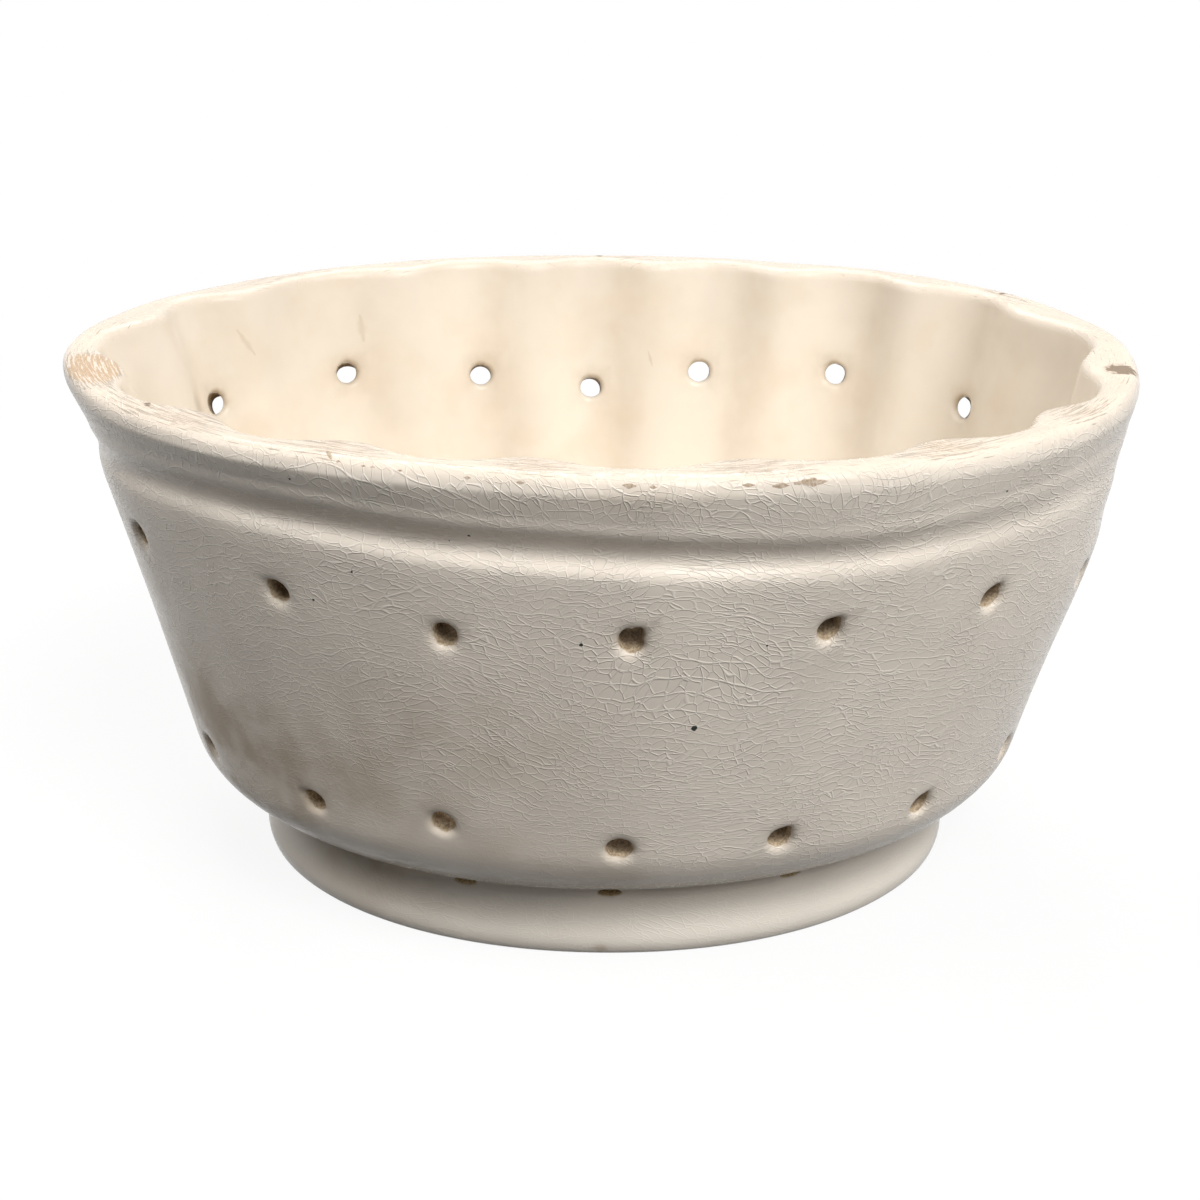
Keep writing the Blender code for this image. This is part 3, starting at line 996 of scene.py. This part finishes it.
def bareClayGroup():
    # gritty fired clay, as the bores and chips show it, with painted shade darkening it well inside
    tree, put, out = newGroup(
        "bareClay",
        {"Vector": "Vector", "Dark": "Color", "Pale": "Color", "Deep": "Float"},
        {"Color": "Color", "Height": "Float"},
    )
    grit = mottle(put["Vector"], 2200, 3, 0.65)
    color = mixed(remap(grit, 0.3, 0.7), put["Dark"], put["Pale"])
    inside = mixed(1.0, color, glaze["deep"], "MULTIPLY")
    feed(out, {"Color": mixed(put["Deep"], color, inside), "Height": grit})
    return tree


def lipWearGroup():
    # grey-brown scratches that follow the rim, and pits where it is most worn
    tree, put, out = newGroup(
        "lipWear",
        {"Vector": "Vector", "Amount": "Float"},
        {"Mask": "Float", "Warmth": "Float"},
    )
    vector, amount = put["Vector"], put["Amount"]
    across = vectors("LENGTH", vectors("MULTIPLY", vector, (1 / rim[0], 1 / rim[1], 0.0)))
    along = vectors("MULTIPLY", vector, (190.0, 190.0, 0.0))
    lift = joined("CombineXYZ", {"Z": times(across, 320.0)}).outputs[0]
    streak = mottle(vectors("ADD", along, lift), 1.0, 4, 0.62)
    level = remap(amount, 0.0, 1.5, 0.64, 0.41)
    mask = remap(sums("SUBTRACT", streak, level), 0.0, 0.1)
    pits = remap(mottle(vector, 620, 3, 0.6), 0.58, 0.66, 0.0, 0.8)
    pits = times(pits, remap(amount, 0.6, 1.2))
    worn = remap(amount, 0.02, 0.3)
    feed(out, {
        "Mask": times(sums("MAXIMUM", mask, pits), worn),
        "Warmth": remap(amount, 0.9, 1.6),
    })
    return tree


def strokeGroup():
    # distance from a tapering stroke, in half widths
    tree, put, out = newGroup(
        "stroke",
        {"Vector": "Vector", "Start": "Vector", "Run": "Vector", "Width": "Float"},
        {"Off": "Float"},
    )
    run = put["Run"]
    here = vectors("SUBTRACT", put["Vector"], put["Start"])
    along, length = vectors("DOT_PRODUCT", here, run), vectors("DOT_PRODUCT", run, run)
    share = sums("DIVIDE", along, length, True)
    nearest = joined("VectorMath", {0: run, "Scale": share}, operation="SCALE").outputs[0]
    taper = remap(sums("PINGPONG", share, 0.5), 0.0, 0.5, 0.35, 1.0)
    off = vectors("DISTANCE", here, nearest)
    feed(out, {"Off": sums("DIVIDE", off, times(taper, put["Width"]))})
    return tree


def brokenEdge(vector, off, edge):
    broken = uneven(vector, 900, 3, -0.22, 0.22)
    return remap(sums("ADD", off, broken), 1.0 - edge, 1.0 + edge, 1.0, 0.0)


def strokeMask(vector, strokes, edge, group):
    nearest = 9.0
    for start, end, width in strokes:
        inputs = {"Vector": vector, "Start": start, "Run": end - start, "Width": width}
        stroke = joined("Group", inputs, node_tree=group)
        nearest = sums("MINIMUM", stroke.outputs["Off"], nearest)
    return brokenEdge(vector, nearest, edge)


def spotMask(vector, spots, edge):
    nearest = 9.0
    for place, radius in spots:
        off = sums("DIVIDE", vectors("DISTANCE", vector, place), radius)
        nearest = sums("MINIMUM", off, nearest)
    return brokenEdge(vector, nearest, edge)


glaze = {
    "outside": (0.86, 0.785, 0.695, 1),
    "inside": (0.82, 0.75, 0.655, 1),
    "foot": (0.85, 0.79, 0.71, 1),
    "floor": (0.82, 0.75, 0.65, 1),
    "boreClay": ((0.32, 0.24, 0.155, 1), (0.62, 0.51, 0.375, 1)),  # darker and paler grit
    # paler clay in the weeps: glaze in them, and painted light against the shade under the shoulder
    "weepClay": ((0.50, 0.38, 0.22, 1), (0.85, 0.72, 0.50, 1)),
    "chipClay": ((0.30, 0.21, 0.14, 1), (0.60, 0.50, 0.40, 1)),
    "deep": (0.15, 0.11, 0.08, 1),  # painted shade well inside the bores
    "gouge": (0.24, 0.19, 0.145, 1),
    "grime": (0.46, 0.38, 0.28, 1),
    "stain": (0.56, 0.46, 0.345, 1),
    # painted shade on the lip top, toning down its bright lighting
    "crown": (0.86, 0.80, 0.745, 1),
    "blotch": (0.72, 0.58, 0.42, 1),
    "worn": (0.33, 0.28, 0.22, 1),
    "rusty": (0.42, 0.25, 0.10, 1),
    "speck": (0.018, 0.026, 0.02, 1),
    "smear": (0.30, 0.26, 0.21, 1),
    "scuff": (0.45, 0.35, 0.23, 1),
    "wearShare": 0.75,
    "smearShare": 0.25,
    "scuffShare": 0.28,
    "chipShare": 0.9,
    "relief": 0.075 * mm,
    "shine": 0.2,  # 0.5 is plain glass
    "dullShine": 0.02,  # on bare clay, stains and painted shade
}


def glazeMaterial(name, outside, inside, clayKey, groups, marks=None):
    material = bpy.data.materials.new(name)
    material.use_nodes = True
    tree = material.node_tree
    shader = tree.nodes["Principled BSDF"]
    vector = addNode(tree, "TexCoord", {}).outputs["Object"]
    inner, crown = attribute(tree, "inner"), attribute(tree, "crown")

    def group(key, inputs):
        return joined("Group", dict(inputs, Vector=vector), node_tree=groups[key]).outputs

    def clayOf(key, deep=0.0):
        dark, pale = glaze[key]
        return group("clay", {"Dark": dark, "Pale": pale, "Deep": deep})

    def broken(name, scale, low, high):
        return times(attribute(tree, name), uneven(vector, scale, 3, low, high))

    def strokes(key, edge):
        return strokeMask(vector, marks[key], edge, groups["stroke"])

    def tinted(color, mask, key):
        return mixed(mask, color, glaze[key])

    tint = mixed(inner, glaze[outside], glaze[inside])
    skin = group("glaze", {"Tint": tint, "Crazing": attribute(tree, "crazing")})
    # bare clay, with painted shade from the deep attribute
    clay = clayOf(clayKey, attribute(tree, "deep"))
    wear = group("wear", {"Amount": attribute(tree, "wear")})
    # dulls the lip top with painted shade against its bright lighting
    color = mixed(crown, skin["Color"], glaze["crown"], "MULTIPLY")
    blotch = remap(mottle(vector, 75, 3), 0.45, 0.75, 0.0, 0.3)
    color = tinted(color, times(blotch, inner), "blotch")
    color = tinted(color, broken("grime", 400, 0.25, 0.6), "grime")
    # stains outside, and painted shade in the left crease and on one side of each flute inside
    stainOrShadeMask = broken("stain", 120, 0.2, 0.55)
    color = tinted(color, stainOrShadeMask, "stain")
    scratch = mixed(wear["Warmth"], glaze["worn"], glaze["rusty"])
    color = mixed(times(wear["Mask"], glaze["wearShare"]), color, scratch)
    ragged = sums("ADD", attribute(tree, "clay"), uneven(vector, 1100, 2, -0.18, 0.18))
    bare = remap(ragged, 0.35, 0.6)
    if marks:
        color = tinted(color, times(strokes("smears", 0.9), glaze["smearShare"]), "smear")
        color = tinted(color, times(strokes("scuffs", 0.9), glaze["scuffShare"]), "scuff")
    color = mixed(bare, color, clay["Color"])
    if marks:
        chip = strokes("chips", 0.2)
        color = mixed(times(chip, glaze["chipShare"]), color, clayOf("chipClay")["Color"])
        onTop = spotMask(vectors("MULTIPLY", vector, (1, 1, 0)), marks["crownChips"], 0.2)
        onTop = times(onTop, remap(crown, 0.05, 0.2))
        color = tinted(color, times(onTop, glaze["chipShare"]), "gouge")
        color = tinted(color, spotMask(vector, marks["specks"], 0.15), "speck")
        bare = sums("MAXIMUM", bare, sums("MAXIMUM", chip, onTop))
    height = mixedValue(bare, skin["Height"], clay["Height"])
    bump = joined("Bump", {"Distance": glaze["relief"], "Height": height})
    dull = sums("MAXIMUM", bare, times(stainOrShadeMask, 1.6))
    feed(shader, {
        "Base Color": color,
        "Roughness": sums("MAXIMUM", skin["Roughness"], times(bare, 0.9)),
        "Specular IOR Level": remap(dull, 0.0, 1.0, glaze["shine"], glaze["dullShine"]),
        "Normal": bump.outputs["Normal"],
    })
    return material


# studio: pale floor and white surround
studio = {
    "floorSize": 14.0,
    "floorSeen": (0.9, 0.9, 0.9, 1),
    "floorBounce": (0.1, 0.1, 0.1, 1),  # what the floor throws back on the mould
    "surround": 0.03,  # light from all round
    "shadowShare": 0.12,  # of the floor's shading that shows
    "shadowReach": (0.12, 0.42),  # from the middle, over which the floor clears to white
}


def whiteForCamera(tree):
    path = addNode(tree, "LightPath", {})
    seen = sums("MAXIMUM", path.outputs["Is Camera Ray"], path.outputs["Is Transmission Ray"])
    return sums("MAXIMUM", seen, path.outputs["Is Glossy Ray"])


def buildStudio():
    world = bpy.data.worlds.new("paleSurround")
    bpy.context.scene.world = world
    world.use_nodes = True
    tree = world.node_tree
    tree.nodes.clear()
    strength = mixedValue(whiteForCamera(tree), studio["surround"], 1.0)
    back = joined("Background", {"Color": (1, 1, 1, 1), "Strength": strength})
    joined("OutputWorld", {"Surface": back.outputs[0]})

    material = bpy.data.materials.new("paleBoard")
    material.use_nodes = True
    tree = material.node_tree
    tree.nodes.clear()
    pale = mixed(whiteForCamera(tree), studio["floorBounce"], studio["floorSeen"])
    matte = joined("BsdfDiffuse", {"Color": pale})
    white = addNode(tree, "Emission", {"Color": (1, 1, 1, 1), "Strength": 1.0})
    far = vectors("LENGTH", addNode(tree, "TexCoord", {}).outputs["Object"])
    clear = remap(far, *studio["shadowReach"], 1 - studio["shadowShare"], 1.0)
    share = times(whiteForCamera(tree), clear)
    both = joined("MixShader", {0: share, 1: matte.outputs[0], 2: white.outputs[0]})
    joined("OutputMaterial", {"Surface": both.outputs[0]})
    bm = bmesh.new()
    bmesh.ops.create_grid(bm, x_segments=8, y_segments=8, size=studio["floorSize"] / 2)
    board = addMesh("studioFloor", bm, material)


# square soft boxes as (name, place, size, watts), each aimed at the mould
boxColor = (1.0, 0.985, 0.96)
softBoxes = (
    ("backBox", (-0.1, 0.58, 0.82), 0.6, 5.0),
    ("leftBox", (-0.7, -0.1, 0.75), 0.5, 3.9),
    ("frontBox", (0.38, -0.66, 0.78), 0.5, 6.5),
    ("overheadBox", (0.32, -0.46, 1.0), 0.5, 5.0),
    ("rightBox", (0.66, -0.38, 0.78), 0.5, 1.5),
)


def buildLights():
    aim = Vector((0, 0, lipTop / 2))
    for name, place, size, watts in softBoxes:
        data = bpy.data.lights.new(name, "AREA")
        data.size, data.energy, data.color = size, watts, boxColor
        lamp = addObject(name, data)
        lamp.location = place
        lamp.rotation_euler = (aim - Vector(place)).to_track_quat("-Z", "Y").to_euler()


# camera, as fitted to the photograph; angles in degrees
view = {
    "place": (0.8 * mm, -302.0 * mm, 172.8 * mm),
    "pitch": 22.97,
    "yaw": -0.35,
    "roll": 0.29,
    "lens": 50.8,
    "sensor": 36.0,
}


def buildCamera():
    pitch, yaw, roll = (radians(view[name]) for name in ("pitch", "yaw", "roll"))
    ahead = Vector((sin(yaw) * cos(pitch), cos(yaw) * cos(pitch), -sin(pitch)))
    level = ahead.cross(Vector((0, 0, 1))).normalized()
    above = level.cross(ahead)
    right = level * cos(roll) + above * sin(roll)
    up = above * cos(roll) - level * sin(roll)
    data = bpy.data.cameras.new("photoCamera")
    data.lens, data.sensor_width = view["lens"], view["sensor"]
    camera = addObject("photoCamera", data)
    turned = Matrix((right, up, -ahead)).transposed().to_4x4()
    camera.matrix_world = Matrix.Translation(view["place"]) @ turned
    bpy.context.scene.camera = camera


for old in list(bpy.data.objects):
    if old.type in ("CAMERA", "LIGHT") or old.name == "Cube":
        bpy.data.objects.remove(old)
groups = {
    "glaze": crazedGlazeGroup(),
    "clay": bareClayGroup(),
    "wear": lipWearGroup(),
    "stroke": strokeGroup(),
}
buildWall(glazeMaterial("wallGlaze", "outside", "inside", "boreClay", groups, wallMarks()))
print("wall built")
buildFloor(glazeMaterial("floorGlaze", "floor", "floor", "boreClay", groups))
print("floor built")
buildFoot(glazeMaterial("footGlaze", "foot", "foot", "weepClay", groups))
print("foot built")
buildStudio()
buildLights()
buildCamera()
bpy.context.scene.view_settings.view_transform = "Standard"
print("studio ready")
